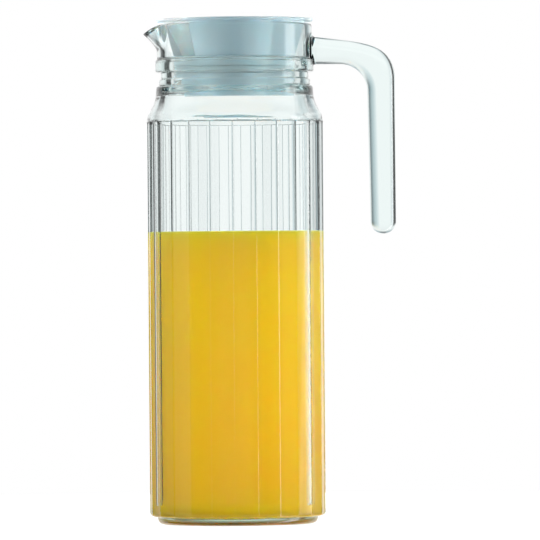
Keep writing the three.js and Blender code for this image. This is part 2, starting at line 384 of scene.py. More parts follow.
@dataclass(frozen=True)
class PaleFloor:
    """A pale studio floor that shows white to the eye and through glass, and keeps a shadow."""

    colour: tuple = (0.86, 0.87, 0.88)
    glow: float = 0.76
    glow_through_glass: float = 0.4
    speckle_scale: float = 400.0
    speckle: float = 0.98

    def material(self) -> Material:
        """Makes the floor's finish, which glows only to the eye and through glass.

        Returns:
            The material.
        """
        material, draft = new_material("pale_floor")
        path = draft.add("ShaderNodeLightPath").outputs
        bent = draft.product(path["Is Transmission Ray"], self.glow_through_glass)
        seen = draft.math("MAXIMUM", draft.product(path["Is Camera Ray"], self.glow), bent)
        speckle = draft.noise(self.speckle_scale)
        paint = draft.mix(speckle, tuple(self.speckle * c for c in self.colour), self.colour)
        matt = draft.add("ShaderNodeBsdfDiffuse", {"Color": paint})
        glow = draft.add("ShaderNodeEmission", {"Strength": seen})
        finish_with(draft, draft.add("ShaderNodeAddShader", {0: matt.outputs[0], 1: glow.outputs[0]}))
        return material


class Outline:
    """A path of (radius, height) points that is turned about the jug's axis."""

    def __init__(self, radius: float, height: float) -> None:
        """Starts the path at one point."""
        self.points: list[tuple[float, float]] = [(radius, height)]

    def line(self, radius: float, height: float, steps: int = 1) -> None:
        """Adds a straight stretch in equal steps."""
        start, end = Vector(self.points[-1]), Vector((radius, height))
        self.points += [tuple(start.lerp(end, k / steps)) for k in range(1, steps + 1)]

    def curve(self, control: tuple, end: tuple, steps: int = 6) -> None:
        """Adds a curve that heads for one control point.

        Args:
            control: The control point.
            end: The curve's last point.
            steps: Steps along it.
        """
        a, b, c = Vector(self.points[-1]), Vector(control), Vector(end)
        shares = [k / steps for k in range(1, steps + 1)]
        self.points += [tuple(a.lerp(b, t).lerp(b.lerp(c, t), t)) for t in shares]

    def cubic(self, first: tuple, second: tuple, end: tuple, steps: int = 10) -> None:
        """Adds a curve that leaves for one control point and arrives from another.

        Args:
            first: The control point that it leaves for.
            second: The control point that it arrives from.
            end: The curve's last point.
            steps: Steps along it.
        """
        a, b, c, d = Vector(self.points[-1]), Vector(first), Vector(second), Vector(end)
        for k in range(1, steps + 1):
            t = k / steps
            ab, bc, cd = a.lerp(b, t), b.lerp(c, t), c.lerp(d, t)
            self.points.append(tuple(ab.lerp(bc, t).lerp(bc.lerp(cd, t), t)))

    def bulge(self, swell: float, height: float, steps: int = 8) -> None:
        """Adds a curve that swells out by some amount and comes back to the same radius."""
        radius, bottom = self.points[-1]
        self.curve((radius + 2 * swell, (bottom + height) / 2), (radius, height), steps)

    @classmethod
    def rounded(cls, corners: list[tuple], steps: int = 3) -> "Outline":
        """Joins corners by straight stretches, with each corner rounded.

        Args:
            corners: (radius, height) or (radius, height, rounding) for each corner.
            steps: Steps in each rounded corner.

        Returns:
            The path from the first corner to the last.
        """
        path = cls(*corners[0][:2])
        for before, corner, after in zip(corners, corners[1:], corners[2:]):
            middle = Vector(corner[:2])
            size = corner[2] if len(corner) > 2 else 0.0
            if not size:
                path.line(*middle)
                continue
            ends = []
            for neighbour in (before, after):
                way = Vector(neighbour[:2]) - middle
                ends.append(middle + way.normalized() * min(size, CORNER_LIMIT * way.length))
            path.line(*ends[0])
            path.curve(tuple(middle), tuple(ends[1]), steps)
        path.line(*corners[-1][:2])
        return path


class RevolveTree:
    """A node tree that turns an outline about the jug's axis into a closed skin."""

    def __init__(self, name: str) -> None:
        """Makes the tree with its shared inputs.

        Args:
            name: The tree's name.
        """
        self.tree = bpy.data.node_groups.new(name, "GeometryNodeTree")
        self.draft = NodeDraft(self.tree)
        self.sockets: dict[str, str] = {}
        self.tree.interface.new_socket("Geometry", in_out="OUTPUT", socket_type="NodeSocketGeometry")
        self.declare("Geometry", "Geometry")
        self.source = self.draft.add("NodeGroupInput")

    def declare(self, name: str, kind: str) -> None:
        """Adds a named input of a kind such as Float or Int."""
        made = self.tree.interface.new_socket(name, in_out="INPUT", socket_type=f"NodeSocket{kind}")
        self.sockets[name] = made.identifier

    def value(self, name: str, kind: str = "Float") -> Socket:
        """Finds a named input, which is made if it is new.

        Args:
            name: The input's name.
            kind: Its kind, such as Float or Int.

        Returns:
            The input's socket.
        """
        if name not in self.sockets:
            self.declare(name, kind)
        return self.source.outputs[name]

    def polar(self, angle: object, radius: object, height: object) -> Socket:
        """Works out the places of points about the axis.

        Args:
            angle: Each point's angle about the axis, in radians.
            radius: Its distance from the axis.
            height: Its height.

        Returns:
            The places.
        """
        along = self.draft.product(radius, self.draft.math("COSINE", angle))
        across = self.draft.product(radius, self.draft.math("SINE", angle))
        return self.draft.add("ShaderNodeCombineXYZ", {0: along, 1: across, 2: height}).outputs[0]

    def grid(self) -> tuple[Socket, Socket, Socket, Socket]:
        """Lays a grid of outline points by turns.

        Returns:
            The grid, each point's step of the turn, its radius and its height.
        """
        draft = self.draft
        rows, steps = self.value("Outline Points", "Int"), self.value("Turn Steps", "Int")
        columns = draft.total(steps, 1)
        size = {"Vertices X": rows, "Vertices Y": columns}
        mesh = draft.add("GeometryNodeMeshGrid", size).outputs["Mesh"]
        index = draft.add("GeometryNodeInputIndex").outputs[0]
        row = draft.math("FLOOR", draft.math("DIVIDE", draft.total(index, INDEX_NUDGE), columns))
        step = draft.math("SUBTRACT", index, draft.product(row, columns))
        place = draft.add("GeometryNodeInputPosition").outputs[0]
        picked = draft.add("GeometryNodeSampleIndex", data_type="FLOAT_VECTOR")
        for name, value in {"Geometry": self.value("Geometry"), "Value": place, "Index": row}.items():
            draft.feed(next(s for s in picked.inputs if s.name == name and s.enabled), value)
        point = draft.add("ShaderNodeSeparateXYZ", {0: next(s for s in picked.outputs if s.enabled)})
        return mesh, step, point.outputs["X"], point.outputs["Z"]

    def close(self, mesh: object, angle: object, radius: object, height: object) -> None:
        """Moves the grid's points to their places, welds the seam and poles, and ends the tree.

        Args:
            mesh: The grid.
            angle: Each point's angle about the axis, in radians.
            radius: Its distance from the axis.
            height: Its height.
        """
        steps = {
            "SetPosition": {"Position": self.polar(angle, radius, height)},
            "MergeByDistance": {"Distance": WELD_DISTANCE},
            "RealizeInstances": {},
            "SetMaterial": {"Material": self.value("Material", "Material")},
        }
        for kind, inputs in steps.items():
            node = self.draft.add(f"GeometryNode{kind}", {"Geometry": mesh, **inputs})
            mesh = node.outputs[0]
        self.draft.add("NodeGroupOutput", {0: mesh})

    @classmethod
    def plain(cls) -> "RevolveTree":
        """Makes a tree that turns an outline with nothing added.

        Returns:
            The tree.
        """
        made = cls("turned_piece")
        mesh, step, radius, height = made.grid()
        share = made.draft.math("DIVIDE", step, made.value("Turn Steps", "Int"))
        made.close(mesh, made.draft.product(share, math.tau), radius, height)
        return made

    def piece(self, name: str, outline: Outline, values: dict) -> Piece:
        """Turns one outline into a plain mesh piece.

        Args:
            name: The piece's name.
            outline: The path that is turned.
            values: The tree's input values, by name.

        Returns:
            The piece, with its place in its mesh and no modifier.
        """
        sketch = bpy.data.meshes.new(f"{name}_outline")
        sketch.from_pydata([(radius, 0.0, height) for radius, height in outline.points], [], [])
        holder = linked(f"{name}_outline", sketch)
        modifier = holder.modifiers.new("turn", "NODES")
        modifier.node_group = self.tree
        for key, value in {"Outline Points": len(outline.points), **values}.items():
            modifier[self.sockets[key]] = value
        return settled(holder, name)


def linked(name: str, data: bpy.types.ID) -> Piece:
    """Makes an object from its data and links it to the scene.

    Args:
        name: The object's name.
        data: Its mesh, lamp or camera.

    Returns:
        The object, at the origin.
    """
    made = bpy.data.objects.new(name, data)
    bpy.context.scene.collection.objects.link(made)
    return made


def inputs_from(sizes: object, *names: str) -> dict[str, object]:
    """Returns values for a tree's inputs, each named in words after its field."""
    return {name.replace("_", " ").title(): getattr(sizes, name) for name in names}


def settled(holder: Piece, name: str) -> Piece:
    """Turns an object with modifiers into a plain piece with faces that point outwards.

    Args:
        holder: The object, which is removed.
        name: The new piece's name.

    Returns:
        The plain piece.
    """
    graph = bpy.context.evaluated_depsgraph_get()
    mesh = bpy.data.meshes.new_from_object(holder.evaluated_get(graph), depsgraph=graph)
    old = holder.data
    bpy.data.objects.remove(holder)
    bpy.data.meshes.remove(old)
    work = bmesh.new()
    work.from_mesh(mesh)
    bmesh.ops.remove_doubles(work, verts=work.verts, dist=WELD_DISTANCE)
    bmesh.ops.recalc_face_normals(work, faces=work.faces)
    work.to_mesh(mesh)
    work.free()
    mesh.name = name
    return linked(name, mesh)


def combined(piece: Piece, tool: Piece, operation: str) -> Piece:
    """Joins another solid to a piece, or cuts it out.

    Args:
        piece: The piece that changes.
        tool: The other solid, which is removed.
        operation: UNION or DIFFERENCE.

    Returns:
        The new plain piece under the old name.
    """
    name = piece.name
    modifier = piece.modifiers.new("combine", "BOOLEAN")
    modifier.operation, modifier.solver, modifier.object = operation, "MANIFOLD", tool
    made = settled(piece, f"{name}_new")
    bpy.data.objects.remove(tool)
    made.name = made.data.name = name
    return made


def mesh_piece(name: str, points: list, faces: list) -> Piece:
    """Makes a closed piece from points and faces.

    Args:
        name: The piece's name.
        points: Its points in space.
        faces: The numbers of each face's points.

    Returns:
        The piece, with faces that point outwards.
    """
    mesh = bpy.data.meshes.new(name)
    mesh.from_pydata(points, [], faces)
    return settled(linked(f"{name}_draft", mesh), name)


def wedge(
    turn: float, half_angle: float, bottom: float, top: float, reach: float, steps: int = 24
) -> Piece:
    """Makes a wedge of a disc, from one height to another.

    Args:
        turn: How far its middle is turned from the spout towards -Y, in radians.
        half_angle: Half the wedge's angle, in radians.
        bottom: Its lower height.
        top: Its upper height.
        reach: Its radius.
        steps: Steps in its arc.

    Returns:
        The wedge, for cutting.
    """
    turns = [math.pi + turn - half_angle + 2 * half_angle * k / steps for k in range(steps + 1)]
    ring = [(0.0, 0.0)] + [(reach * math.cos(t), reach * math.sin(t)) for t in turns]
    count = len(ring)
    points = [(x, y, z) for z in (bottom, top) for x, y in ring]
    sides = [(k, (k + 1) % count, count + (k + 1) % count, count + k) for k in range(count)]
    caps = [tuple(range(count)), tuple(range(count, 2 * count))]
    return mesh_piece("wedge", points, sides + caps)


def shade(piece: Piece, sharp_angle: float) -> None:
    """Shades a piece smooth, apart from edges sharper than an angle in radians."""
    piece.data.shade_smooth()
    piece.data.set_sharp_from_angle(angle=sharp_angle)


def mark_inside(piece: Piece) -> None:
    """Marks the faces of a hollow piece that look towards the jug's axis, which the plastic colours
    paler as painted light.

    Args:
        piece: The piece, which gets a face attribute.
    """
    marks = piece.data.attributes.new(INSIDE, "FLOAT", "FACE")
    for face, mark in zip(piece.data.polygons, marks.data):
        outward = Vector((face.center.x, face.center.y, 0.0)).normalized()
        mark.value = float(face.normal.dot(outward) < INSIDE_FACING)


def place_on(piece: Piece, body: Body, nodes: tuple[str, ...]) -> None:
    """Gives a finished piece its body and the nodes that it stands for.

    Args:
        piece: The finished piece.
        body: The body that it rides on.
        nodes: The names of the nodes that it replaces.
    """
    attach(piece, body.value)
    if nodes:
        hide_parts(*nodes)
    LOG.info("%s rides on %s: %d faces", piece.name, body.value, len(piece.data.polygons))


@dataclass
class GlassSizes:
    """Driving sizes of the glass, and the heights and radii that follow from them."""

    facets: int = 24
    ridge_radius: float = 45.2 * MM
    wall: float = 4.3 * MM
    base: float = 4.5 * MM
    base_fillet: float = 8 * MM
    push_up: float = 1.1 * MM
    foot_height: float = 7.6 * MM
    foot_inset: float = 3.8 * MM
    foot_round: float = 4.2 * MM
    facet_height: float = 200.2 * MM
    shoulder_height: float = 14 * MM
    shoulder_corner: float = 3.6 * MM
    shoulder_turn: float = 0.6
    neck_bore: float = 31.6 * MM
    neck_wall: float = 6.4 * MM
    ring_steps: tuple[float, ...] = (2.5 * MM, 0.9 * MM, 0.0)
    ring_height: float = 3.6 * MM
    ring_groove: float = 0.8 * MM
    bead_height: float = 6.3 * MM
    bead_step: float = 0.7 * MM
    bead_round: float = 1.2 * MM
    ledge_width: float = 4.6 * MM
    ledge_drop: float = 0.9 * MM
    collar_wall: float = 3.8 * MM
    collar_height: float = 18.3 * MM
    rim_round: float = 1.1 * MM

    def __post_init__(self) -> None:
        """Works out the heights and radii that the pieces share."""
        self.facet_top = self.foot_height + self.facet_height
        self.shoulder_top = self.facet_top + self.shoulder_height
        self.corner_middle = self.facet_top + self.shoulder_corner / 2
        self.corner_top = self.facet_top + self.shoulder_corner
        self.corner_inset = self.shoulder_corner / 4
        self.turn_height = self.corner_top + self.shoulder_turn * (self.shoulder_top - self.corner_top)
        self.bead_bottom = self.shoulder_top + len(self.ring_steps) * self.ring_height
        self.bead_top = self.bead_bottom + self.bead_height
        self.ledge_top = self.bead_top - self.ledge_drop
        self.rim_top = self.bead_top + self.collar_height
        self.foot_radius = self.ridge_radius - self.foot_inset
        self.inner_radius = self.ridge_radius * math.cos(math.pi / self.facets) - self.wall
        self.neck_radius = self.neck_bore + self.neck_wall
        self.neck_foot = self.neck_radius + self.ring_steps[0]
        self.collar_bore = self.neck_bore + self.ledge_width
        self.collar_radius = self.collar_bore + self.collar_wall


@dataclass
class HookHandle:
    """The open hook handle: a rounded bar that follows an outline in the plane of the spout."""

    glass: GlassSizes
    reach: float = 82.7 * MM
    width: float = 17 * MM
    edge: float = 6.0 * MM
    arm_drop: float = 6.9 * MM
    arm_height: float = 14 * MM
    arm_fall: float = 1.6 * MM
    arm_straight: float = 13 * MM
    grip_thickness: float = 14.4 * MM
    tip_thickness: float = 13.2 * MM
    grip_length: float = 101.5 * MM
    bend_outside: float = 21 * MM
    bend_lead: float = 0.78
    bend_drop: float = 0.76
    bend_inside: float = 14 * MM
    root_flare: float = 2.4 * MM
    root_depth: float = 2.4 * MM
    root_spread: float = 0.3 * MM
    edge_steps: int = 9
    face_shares: tuple[float, ...] = (0.04, 0.15, 0.5, 0.85, 0.96)

    def chains(self) -> tuple[Outline, Outline]:
        """Draws the outside and the inside of the hook from its root to its tip.

        Returns:
            Two paths of (x, z) points, with as many points each, that meet at the tip.
        """
        glass, arm_top = self.glass, self.glass.rim_top - self.arm_drop
        arm_bottom, tip = arm_top - self.arm_height, arm_top - self.grip_length
        root, collar = glass.collar_radius - self.root_depth, glass.collar_radius
        flare, tip_radius = collar + self.root_flare, self.tip_thickness / 2
        bend_top, fall_end = arm_top - self.arm_fall, flare + self.arm_straight
        grip_inside, tip_middle = self.reach - self.grip_thickness, self.reach - tip_radius
        slope = self.arm_fall / self.arm_straight
        outside = Outline(root, arm_top + self.root_flare)
        outside.line(collar, arm_top + self.root_flare)
        outside.curve((collar, arm_top), (flare, arm_top), 6)
        outside.line(fall_end, bend_top, 6)
        lead, drop = self.bend_lead * self.bend_outside, self.bend_drop * self.bend_outside
        bend_end = bend_top - self.bend_outside
        outside.cubic(
            (fall_end + lead, bend_top - lead * slope),
            (self.reach, bend_end + drop),
            (self.reach, bend_end),
            22,
        )
        outside.line(self.reach, tip + tip_radius, 12)
        inside = Outline(root, arm_bottom - self.root_flare)
        inside.line(collar, arm_bottom - self.root_flare)
        inside.curve((collar, arm_bottom), (flare, arm_bottom), 6)
        inside.line(grip_inside - self.bend_inside, arm_bottom, 6)
        pull = (1 - ROUND_SHARE) * self.bend_inside
        inside.cubic(
            (grip_inside - pull, arm_bottom),
            (grip_inside, arm_bottom - pull),
            (grip_inside, arm_bottom - self.bend_inside),
            22,
        )
        inside.line(self.reach - self.tip_thickness, tip + tip_radius, 12)
        for path, side in ((outside, 1), (inside, -1)):
            edge = tip_middle + side * tip_radius
            knee = tip + (1 - ROUND_SHARE) * tip_radius
            heel = tip_middle + side * ROUND_SHARE * tip_radius
            path.cubic((edge, knee), (heel, tip), (tip_middle, tip), 14)
        return outside, inside

    def section(self, point: Vector, inward: Vector, half: float, side: int) -> list[Vector]:
        """Draws one rounded long edge of the bar at one place, from one flat face to the other.

        Args:
            point: The place on the outline, as x and z.
            inward: The direction into the bar there.
            half: Half the bar's width there.
            side: 1 to run from the back face to the front, -1 to run back.

        Returns:
            Points in space.
        """
        turns = [0.5 * math.pi * k / self.edge_steps for k in range(self.edge_steps + 1)]
        arc = [(self.edge * (1 - math.cos(t)), half - self.edge * (1 - math.sin(t))) for t in turns]
        profile = [(depth, -across) for depth, across in reversed(arc)] + [(0.0, 0.0)] + arc
        path = [point + inward * depth for depth, _ in profile]
        drawn = [Vector((p.x, across, p.y)) for p, (_, across) in zip(path, profile)]
        return drawn[::side]

    def build(self) -> Piece:
        """Lofts the bar along both chains and closes its root.

        Returns:
            The bar, which still has to be joined to the collar.
        """
        outside, inside = (chain.points for chain in self.chains())
        loops, last = [], len(outside) - 1
        for k in range(last + 1):
            ends = []
            for chain, hand in ((outside, 1), (inside, -1)):
                ahead, behind = Vector(chain[min(k + 1, last)]), Vector(chain[max(k - 1, 0)])
                way = (ahead - behind).normalized()
                if k == last:
                    way = Vector((-hand, 0.0))
                if chain[k][0] < self.glass.collar_radius + self.root_flare:
                    way = Vector((1.0, 0.0))
                inward = Vector((way.y, -way.x)) * hand
                beyond = (chain[k][0] - self.glass.collar_radius) / (2 * self.root_flare)
                spread = max(0.0, 1 - beyond)
                half = self.width / 2 + self.root_spread * min(spread, 1.0) ** 2
                ends.append(self.section(Vector(chain[k]), inward, half, hand))
            front = [ends[0][-1].lerp(ends[1][0], share) for share in self.face_shares]
            back = [ends[1][-1].lerp(ends[0][0], share) for share in self.face_shares]
            loops.append(ends[0] + front + ends[1] + back)
        count = len(loops[0])
        points = [tuple(p) for loop in loops for p in loop]
        faces = [tuple(range(count))]
        for k in range(last):
            low, high = k * count, (k + 1) * count
            pairs = [(n, (n + 1) % count) for n in range(count)]
            faces += [(low + n, low + after, high + after, high + n) for n, after in pairs]
        return mesh_piece("handle_blank", points, faces)


@dataclass
class GlassJug:
    """The glass: a faceted vessel with a pulled spout, and the handle fused to its collar."""

    glass: GlassSizes
    finish: Material
    rib_height: float = 0.27 * MM
    rib_width: float = 0.2 * MM
    flute_depth: float = 0.06 * MM
    facet_blend: float = 0.12 * MM
    facet_margin: float = 0.5 * MM
    facet_end: float = 1.0 * MM
    facet_lift: float = 3.0 * MM
    waviness: float = 0.05 * MM
    wave_scale: float = 55.0
    turn_steps_per_facet: int = 14
    ridge_crowding: float = 0.85
    spout_reach: float = 7.2 * MM
    spout_thinning: float = 0.9 * MM
    spout_drop: float = 4.7 * MM
    spout_height: float = 13 * MM
    spout_half_angle: float = math.radians(27)
    spout_curl: float = 1.1
    spout_dip: float = 1.5
    spout_sweep: float = 1.5
    push_up_shares: tuple[float, ...] = (0.55, 0.86, 0.93)
    push_up_fall: float = 0.25
    collar_step: float = 0.3 * MM
    ledge_lip: float = 0.4 * MM
    throat_top: float = 5 * MM
    throat_start: float = 2 * MM
    throat_end: float = 1.5 * MM
    throat_drop: float = 3 * MM
    inside_drop: float = 2 * MM
    wave_slowness: float = 0.22
    wave_parting: float = 40.0
    sharp_angle: float = math.radians(80)

    def outline(self) -> Outline:
        """Draws the glass from the middle of its base, over the rim, to the middle of its floor.

        Returns:
            The path.
        """
        path = Outline(0.0, self.glass.push_up)
        self.draw_body(path)
        self.draw_neck(path)
        self.draw_inside(path)
        return path

    def draw_body(self, path: Outline) -> None:
        """Draws the base, the foot, the facets' zone and the shoulder.

        Args:
            path: The path so far, which goes on from there.
        """
        g = self.glass
        body, half_foot = g.ridge_radius + self.facet_margin, g.foot_height / 2
        rest = g.foot_radius - g.foot_round
        crown, fall, end = (share * rest for share in self.push_up_shares)
        path.curve((crown, g.push_up), (fall, self.push_up_fall * g.push_up), 8)
        path.curve((end, 0.0), (rest, 0.0), 3)
        path.curve((g.foot_radius, 0.0), (g.foot_radius, half_foot), 8)
        path.curve((body, half_foot), (body, g.foot_height), 8)
        path.line(body, g.facet_top - 3 * self.facet_end, 22)
        path.line(body, g.facet_top - self.facet_end, 5)
        path.line(g.ridge_radius, g.facet_top, 6)
        corner = (g.ridge_radius - g.corner_inset, g.corner_top)
        path.curve((g.ridge_radius, g.corner_middle), corner, 7)
        path.curve((g.neck_foot, g.turn_height), (g.neck_foot, g.shoulder_top), 12)

    def draw_neck(self, path: Outline) -> None:
        """Draws the neck rings, the bead, the collar, the rim and the ledge inside it.

        Args:
            path: The path so far, which goes on from there.
        """
        g = self.glass
        groove, bead = g.ring_groove, g.collar_radius + g.bead_step
        first_top = g.shoulder_top + g.ring_height
        path.curve((g.neck_foot, first_top), (g.neck_foot - groove, first_top), 6)
        for index, step in enumerate(g.ring_steps[1:], 1):
            ring, bottom = g.neck_radius + step, g.shoulder_top + index * g.ring_height
            top = bottom + g.ring_height
            path.line(ring - groove, bottom)
            path.curve((ring, bottom), (ring, bottom + groove), 5)
            path.line(ring, top - groove, 2)
            path.curve((ring, top), (ring - groove, top), 5)
        path.line(bead - g.bead_round, g.bead_bottom)
        path.curve((bead, g.bead_bottom), (bead, g.bead_bottom + g.bead_round), 5)
        path.line(bead, g.bead_top - g.bead_round, 2)
        path.curve((bead, g.bead_top), (g.collar_radius, g.bead_top + self.collar_step), 5)
        path.line(g.collar_radius, g.rim_top - g.rim_round, 14)
        path.curve((g.collar_radius, g.rim_top), (g.collar_radius - g.rim_round, g.rim_top), 5)
        path.line(g.collar_bore + g.rim_round, g.rim_top, 2)
        path.curve((g.collar_bore, g.rim_top), (g.collar_bore, g.rim_top - g.rim_round), 5)
        path.line(g.collar_bore, g.ledge_top + g.rim_round, 14)
        path.curve((g.collar_bore, g.ledge_top), (g.collar_bore - g.rim_round, g.ledge_top), 5)
        path.line(g.neck_bore + self.ledge_lip, g.ledge_top)
        path.curve((g.neck_bore, g.ledge_top), (g.neck_bore, g.ledge_top - self.ledge_lip), 3)

    def draw_inside(self, path: Outline) -> None:
        """Draws the bore, the throat, the even wall of the shoulder and body, and the floor.

        Args:
            path: The path so far, which goes on from there.
        """
        g, drop = self.glass, self.inside_drop
        throat = g.neck_foot - g.wall
        path.line(g.neck_bore, g.shoulder_top + self.throat_top, 5)
        path.cubic(
            (g.neck_bore, g.shoulder_top + self.throat_start),
            (throat, g.shoulder_top + self.throat_end),
            (throat, g.shoulder_top - self.throat_drop),
            12,
        )
        corner = (g.inner_radius - g.corner_inset, g.corner_top - drop)
        path.curve((throat, g.turn_height - drop), corner, 12)
        path.curve((g.inner_radius, g.corner_middle - drop), (g.inner_radius, g.facet_top - drop), 7)
        path.line(g.inner_radius, g.base + g.base_fillet, 20)
        path.curve((g.inner_radius, g.base), (g.inner_radius - g.base_fillet, g.base), 10)
        path.line(0.0, g.base, 2)

    def tree(self) -> RevolveTree:
        """Makes the tree that turns the outline, cuts the facets and pulls the spout.

        Returns:
            The tree.
        """
        made = RevolveTree("faceted_glass")
        draft, value = made.draft, made.value
        mesh, step, radius, height = made.grid()
        count = value("Facets", "Int")
        turn = draft.math("DIVIDE", step, value("Steps per Facet", "Int"))
        crowd = draft.product(draft.math("SINE", draft.product(turn, math.tau)), value("Ridge Crowding"))
        turn = draft.math("SUBTRACT", turn, draft.math("DIVIDE", crowd, math.tau))
        angle = draft.math("DIVIDE", draft.product(turn, math.tau), count)
        across = draft.math("SUBTRACT", draft.product(draft.math("FRACT", turn), 2.0), 1.0)
        half = draft.math("DIVIDE", math.pi, count)
        ridge = value("Ridge Radius")
        foot = draft.math("SUBTRACT", ridge, value("Rib Height"))
        flat = draft.math(
            "DIVIDE",
            draft.product(foot, draft.math("COSINE", half)),
            draft.math("COSINE", draft.product(across, half)),
        )
        hollow = draft.math("SUBTRACT", 1.0, draft.product(across, across))
        hollow = draft.product(hollow, value("Flute Depth"))
        off = draft.math("SUBTRACT", 1.0, draft.math("ABSOLUTE", across))
        off = draft.product(off, draft.math("SINE", half), ridge)
        off = draft.math("DIVIDE", off, value("Rib Width"))
        rib = draft.math("EXPONENT", draft.product(off, off, -1.0))
        rib = draft.product(rib, value("Rib Height"))
        facet = draft.total(draft.math("SUBTRACT", flat, hollow), rib)
        rise = draft.math("SUBTRACT", height, value("Facet Top"))
        past = draft.ease(draft.math("DIVIDE", rise, value("Facet End")), -1.0, 0.0)
        facet = draft.total(facet, draft.product(past, value("Facet Lift")))
        radius = draft.math("SMOOTH_MIN", radius, facet, value("Facet Blend"))
        radius = draft.total(radius, self.waves(made, angle, radius, height))
        radius, height = self.spout(made, angle, radius, height)
        made.close(mesh, angle, radius, height)
        return made

    def waves(self, made: RevolveTree, angle: object, radius: object, height: object) -> Socket:
        """Works out the slight unevenness of the walls, which runs mostly up and down.

        Args:
            made: The tree that is being made.
            angle: Each point's angle about the axis, in radians.
            radius: Its distance from the axis.
            height: Its height.

        Returns:
            What is added to the radius.
        """
        draft = made.draft
        rise = draft.product(height, self.wave_slowness)
        rise = draft.total(rise, draft.product(radius, self.wave_parting))
        place = made.polar(angle, radius, rise)
        inputs = {"Vector": place, "Scale": made.value("Wave Scale"), "Detail": 1.0}
        noise = draft.add("ShaderNodeTexNoise", inputs).outputs[0]
        reach = draft.math("MINIMUM", draft.product(radius, 1 / self.glass.foot_radius), 1.0)
        return draft.swing(noise, 2.0, reach, made.value("Waviness"))

    def spout(self, made: RevolveTree, angle: object, radius: object, height: object) -> tuple:
        """Pulls the collar outwards and down about -X.

        Args:
            made: The tree that is being made.
            angle: Each point's angle about the axis, in radians.
            radius: Its distance from the axis.
            height: Its height.

        Returns:
            The new radius and height.
        """
        draft, value = made.draft, made.value
        sideways = draft.math("SUBTRACT", angle, math.pi)
        sideways = draft.math("DIVIDE", sideways, value("Spout Half Angle"))
        share = draft.math("SUBTRACT", 1.0, draft.product(sideways, sideways))
        share = draft.math("MAXIMUM", share, 0.0)
        share = draft.product(share, share)
        start = draft.math("SUBTRACT", value("Rim Height"), value("Spout Height"))
        rise = draft.math("DIVIDE", draft.math("SUBTRACT", height, start), value("Spout Height"))
        rise = draft.math("MAXIMUM", rise, 0.0)
        depth = draft.math("SUBTRACT", value("Collar Radius"), radius)
        depth = draft.math("DIVIDE", depth, value("Collar Wall"), clamp=True)
        pull = draft.total(value("Spout Reach"), draft.product(depth, value("Spout Thinning")))
        outward = draft.product(pull, share, draft.math("POWER", rise, value("Spout Curl")))
        level = draft.math("POWER", share, value("Spout Sweep"))
        dip = draft.math("POWER", rise, value("Spout Dip"))
        drop = draft.product(value("Spout Drop"), level, dip)
        return draft.total(radius, outward), draft.math("SUBTRACT", height, drop)

    def build(self) -> None:
        """Makes the vessel, fuses the handle to it and dresses both in glass."""
        g = self.glass
        values = {
            "Turn Steps": g.facets * self.turn_steps_per_facet,
            "Steps per Facet": self.turn_steps_per_facet,
            "Rim Height": g.rim_top,
            "Material": self.finish,
        }
        shared = ("facets", "ridge_radius", "facet_top", "collar_radius", "collar_wall")
        own = ("ridge_crowding", "rib_height", "rib_width", "flute_depth", "waviness", "wave_scale")
        facet = ("facet_blend", "facet_end", "facet_lift")
        spout = ("reach", "thinning", "drop", "height", "half_angle", "curl", "dip", "sweep")
        values |= inputs_from(g, *shared)
        values |= inputs_from(self, *own, *facet, *(f"spout_{name}" for name in spout))
        vessel = self.tree().piece("glass_vessel", self.outline(), values)
        handle = HookHandle(g).build()
        handle.data.materials.append(self.finish)
        made = combined(vessel, handle, "UNION")
        shade(made, self.sharp_angle)
        place_on(made, Body.JUG, ("glass_jug", "glass_handle"))


